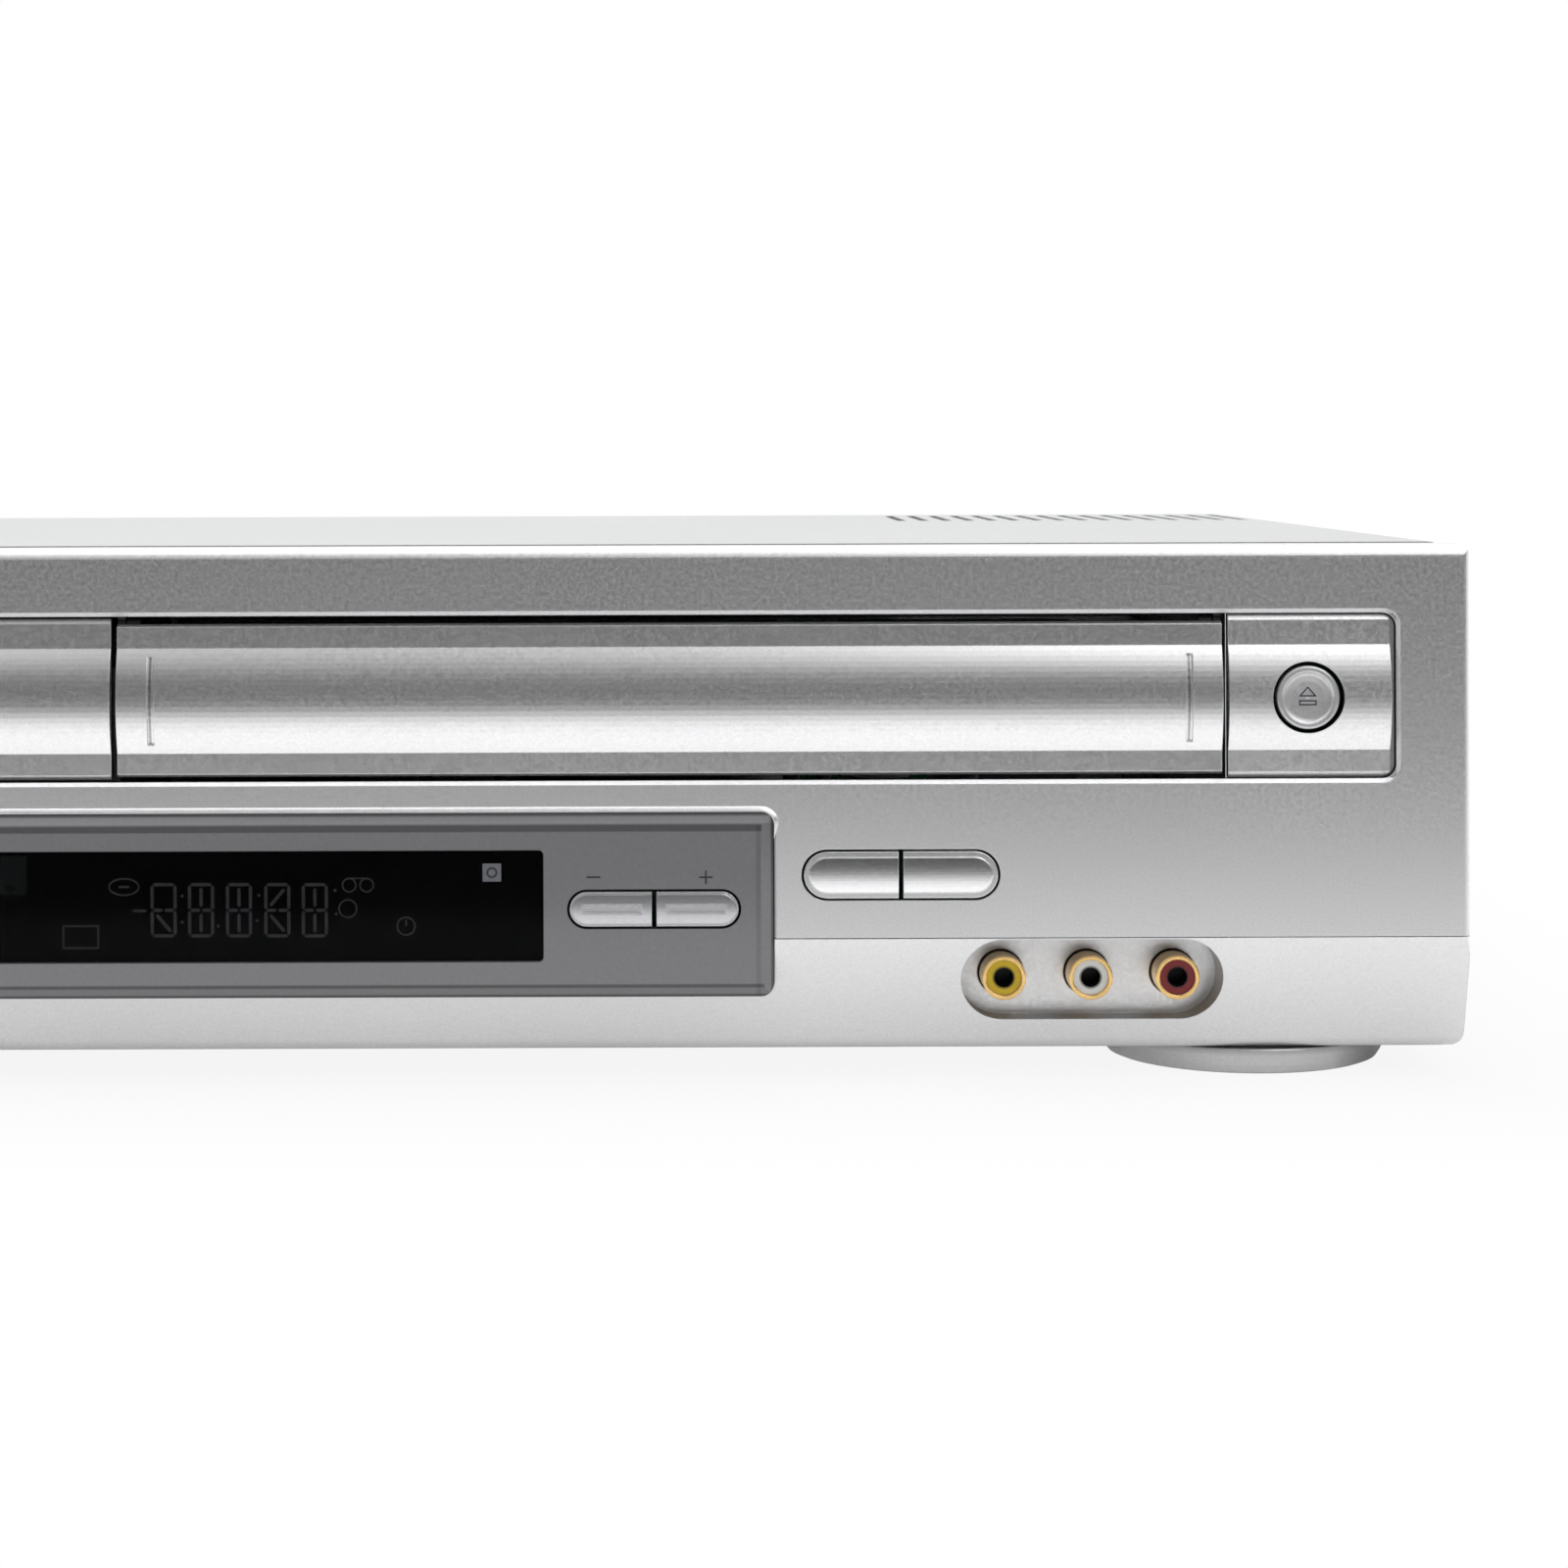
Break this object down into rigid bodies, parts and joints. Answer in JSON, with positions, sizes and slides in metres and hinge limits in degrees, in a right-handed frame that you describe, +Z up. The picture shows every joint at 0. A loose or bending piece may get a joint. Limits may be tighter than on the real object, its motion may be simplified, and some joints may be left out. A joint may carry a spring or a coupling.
{
  "type": "disc and cassette player",
  "caption": "Slim silver combination player: disc tray on the left, cassette slot with a hinged door on the right, display window, push buttons, front jacks and round feet.",
  "frame": {"origin": "middle of the case's bounding box, on the surface it stands on", "axes": "+X right seen from the front, +Y to the rear, +Z up"},
  "size_m": [0.4314, 0.27, 0.101],
  "materials": {
    "cover_paint": "satin silver paint",
    "sheet_steel": "zinc-plated sheet",
    "rear_paint": "matte dark paint",
    "panel_silver": "metallic silver paint",
    "fascia_silver": "light metallic paint",
    "door_silver": "metallic silver paint",
    "button_silver": "metallic silver paint",
    "lens_grey": "smoked clear plastic",
    "mask_black": "gloss black",
    "tube_glass": "clear glass",
    "board_green": "solder resist",
    "part_black": "moulded",
    "gold": "gold plated",
    "jack_yellow": "moulded",
    "jack_white": "moulded",
    "jack_red": "moulded",
    "foot_silver": "satin metallic",
    "foot_rubber": "matte",
    "plastic_grey": "moulded",
    "plastic_white": "moulded",
    "machined_steel": "turned",
    "belt_rubber": "matte"
  },
  "bodies": {
    "case": {"top_cover": "cover_paint", "base_chassis": "sheet_steel", "rear_panel": "rear_paint", "front_panel": "panel_silver", "lower_fascia": "fascia_silver", "display_window": "lens_grey", "display_mask": "mask_black", "display_tube": "tube_glass", "left_bay_trim": "door_silver", "right_bay_trim": "door_silver", "front_boards": "board_green", "jack_barrels": "gold", "yellow_inserts": "jack_yellow", "white_inserts": "jack_white", "red_inserts": "jack_red", "front_feet": "foot_silver", "rear_feet": "foot_rubber", "circuit_boards": "board_green", "power_parts": "part_black", "tuner_box": "sheet_steel", "rear_jack_block": "part_black", "aerial_connectors": "machined_steel", "cord_gland": "part_black", "cover_screws": "machined_steel", "loader_frame": "plastic_grey", "clamp_bridge": "sheet_steel", "loading_motor": "machined_steel", "loading_belt": "belt_rubber", "transport_plate": "sheet_steel", "carriage_guides": "sheet_steel", "capstan_motor": "sheet_steel", "drum_base": "machined_steel", "tape_posts": "machined_steel"},
    "tray": {"disc_tray": "plastic_grey", "tray_door": "door_silver"},
    "tray_gear": {"tray_gear": "plastic_white"},
    "motor_pulley": {"motor_pulley": "plastic_white"},
    "lift_cam": {"lift_cam": "plastic_white"},
    "traverse": {"traverse_frame": "sheet_steel", "spindle_motor": "machined_steel"},
    "turntable": {"turntable": "plastic_grey"},
    "disc_clamp": {"disc_clamp": "plastic_white"},
    "pickup": {"optical_pickup": "plastic_grey"},
    "carriage_slider": {"carriage_slider": "sheet_steel"},
    "cassette_holder": {"cassette_holder": "sheet_steel"},
    "supply_reel": {"supply_reel": "plastic_white"},
    "take_up_reel": {"take_up_reel": "plastic_white"},
    "capstan": {"capstan": "machined_steel"},
    "pinch_arm": {"pinch_arm": "sheet_steel"},
    "head_drum": {"head_drum": "machined_steel"},
    "cassette_door": {"cassette_door": "door_silver"},
    "eject_button": {"eject_button": "button_silver"},
    "open_close_button": {"open_close_button": "button_silver"},
    "power_button": {"power_button": "button_silver"},
    "channel_down_button": {"channel_down_button": "button_silver"},
    "channel_up_button": {"channel_up_button": "button_silver"},
    "select_one_button": {"select_one_button": "button_silver"},
    "select_two_button": {"select_two_button": "button_silver"},
    "play_button": {"play_button": "button_silver"},
    "stop_button": {"stop_button": "button_silver"}
  },
  "joints": [
    {"name": "tray_slide", "type": "slide", "parent": "case", "child": "tray", "axis": [0, -1, 0], "range_m": [0, 0.126]},
    {"name": "tray_gear_spin", "type": "hinge", "parent": "case", "child": "tray_gear", "pos_m": [-0.06298, -0.1096, 0.065], "axis": [0, 0, 1], "range_deg": [-803, 0]},
    {"name": "motor_pulley_spin", "type": "hinge", "parent": "case", "child": "motor_pulley", "pos_m": [-0.09198, -0.1096, 0.059], "axis": [0, 0, 1], "range_deg": [-2408, 0]},
    {"name": "traverse_lift", "type": "slide", "parent": "case", "child": "traverse", "axis": [0, 0, 1], "range_m": [0, 0.008]},
    {"name": "lift_cam_slide", "type": "slide", "parent": "case", "child": "lift_cam", "axis": [1, 0, 0], "range_m": [0, 0.016]},
    {"name": "turntable_spin", "type": "hinge", "parent": "traverse", "child": "turntable", "pos_m": [-0.10397, -0.0659, 0.06], "axis": [0, 0, 1], "continuous": true},
    {"name": "disc_clamp_spin", "type": "hinge", "parent": "case", "child": "disc_clamp", "pos_m": [-0.10397, -0.0659, 0.078], "axis": [0, 0, 1], "continuous": true},
    {"name": "pickup_slide", "type": "slide", "parent": "traverse", "child": "pickup", "axis": [0, 1, 0], "range_m": [0, 0.034]},
    {"name": "cassette_slide", "type": "slide", "parent": "case", "child": "carriage_slider", "axis": [0, 1, 0], "range_m": [0, 0.07]},
    {"name": "cassette_drop", "type": "slide", "parent": "carriage_slider", "child": "cassette_holder", "axis": [0, 0, -1], "range_m": [0, 0.02]},
    {"name": "supply_reel_spin", "type": "hinge", "parent": "case", "child": "supply_reel", "pos_m": [0.01995, -0.02, 0.035], "axis": [0, 0, 1], "continuous": true},
    {"name": "take_up_reel_spin", "type": "hinge", "parent": "case", "child": "take_up_reel", "pos_m": [0.11195, -0.02, 0.035], "axis": [0, 0, 1], "continuous": true},
    {"name": "capstan_spin", "type": "hinge", "parent": "case", "child": "capstan", "pos_m": [0.11995, 0.044, 0.035], "axis": [0, 0, 1], "continuous": true},
    {"name": "pinch_arm_swing", "type": "hinge", "parent": "case", "child": "pinch_arm", "pos_m": [0.13595, 0.058, 0.05], "axis": [0, 0, -1], "range_deg": [0, 19.6]},
    {"name": "head_drum_spin", "type": "hinge", "parent": "case", "child": "head_drum", "pos_m": [0.06595, 0.074, 0.036], "axis": [0, 0.1045, 0.9945], "continuous": true},
    {"name": "cassette_door_swing", "type": "hinge", "parent": "case", "child": "cassette_door", "pos_m": [0.06595, -0.1307, 0.0864], "axis": [1, 0, 0], "range_deg": [0, 85], "stiffness_Nm_per_rad": 0.005},
    {"name": "eject_press", "type": "slide", "parent": "case", "child": "eject_button", "axis": [0, 1, 0], "range_m": [0, 0.001], "stiffness_N_per_m": 800},
    {"name": "open_close_press", "type": "slide", "parent": "case", "child": "open_close_button", "axis": [0, 1, 0], "range_m": [0, 0.001], "stiffness_N_per_m": 800},
    {"name": "power_press", "type": "slide", "parent": "case", "child": "power_button", "axis": [0, 1, 0], "range_m": [0, 0.001], "stiffness_N_per_m": 800},
    {"name": "channel_down_press", "type": "slide", "parent": "case", "child": "channel_down_button", "axis": [0, 1, 0], "range_m": [0, 0.001], "stiffness_N_per_m": 800},
    {"name": "channel_up_press", "type": "slide", "parent": "case", "child": "channel_up_button", "axis": [0, 1, 0], "range_m": [0, 0.001], "stiffness_N_per_m": 800},
    {"name": "select_one_press", "type": "slide", "parent": "case", "child": "select_one_button", "axis": [0, 1, 0], "range_m": [0, 0.001], "stiffness_N_per_m": 800},
    {"name": "select_two_press", "type": "slide", "parent": "case", "child": "select_two_button", "axis": [0, 1, 0], "range_m": [0, 0.001], "stiffness_N_per_m": 800},
    {"name": "play_press", "type": "slide", "parent": "case", "child": "play_button", "axis": [0, 1, 0], "range_m": [0, 0.001], "stiffness_N_per_m": 800},
    {"name": "stop_press", "type": "slide", "parent": "case", "child": "stop_button", "axis": [0, 1, 0], "range_m": [0, 0.001], "stiffness_N_per_m": 800}
  ],
  "couplings": [
    {"joint": "tray_gear_spin", "follows": "tray_slide", "rad_per_m": -111.11},
    {"joint": "motor_pulley_spin", "follows": "tray_slide", "rad_per_m": -333.33},
    {"joint": "lift_cam_slide", "follows": "traverse_lift", "ratio": 2},
    {"joint": "disc_clamp_spin", "follows": "turntable_spin", "ratio": 1}
  ]
}
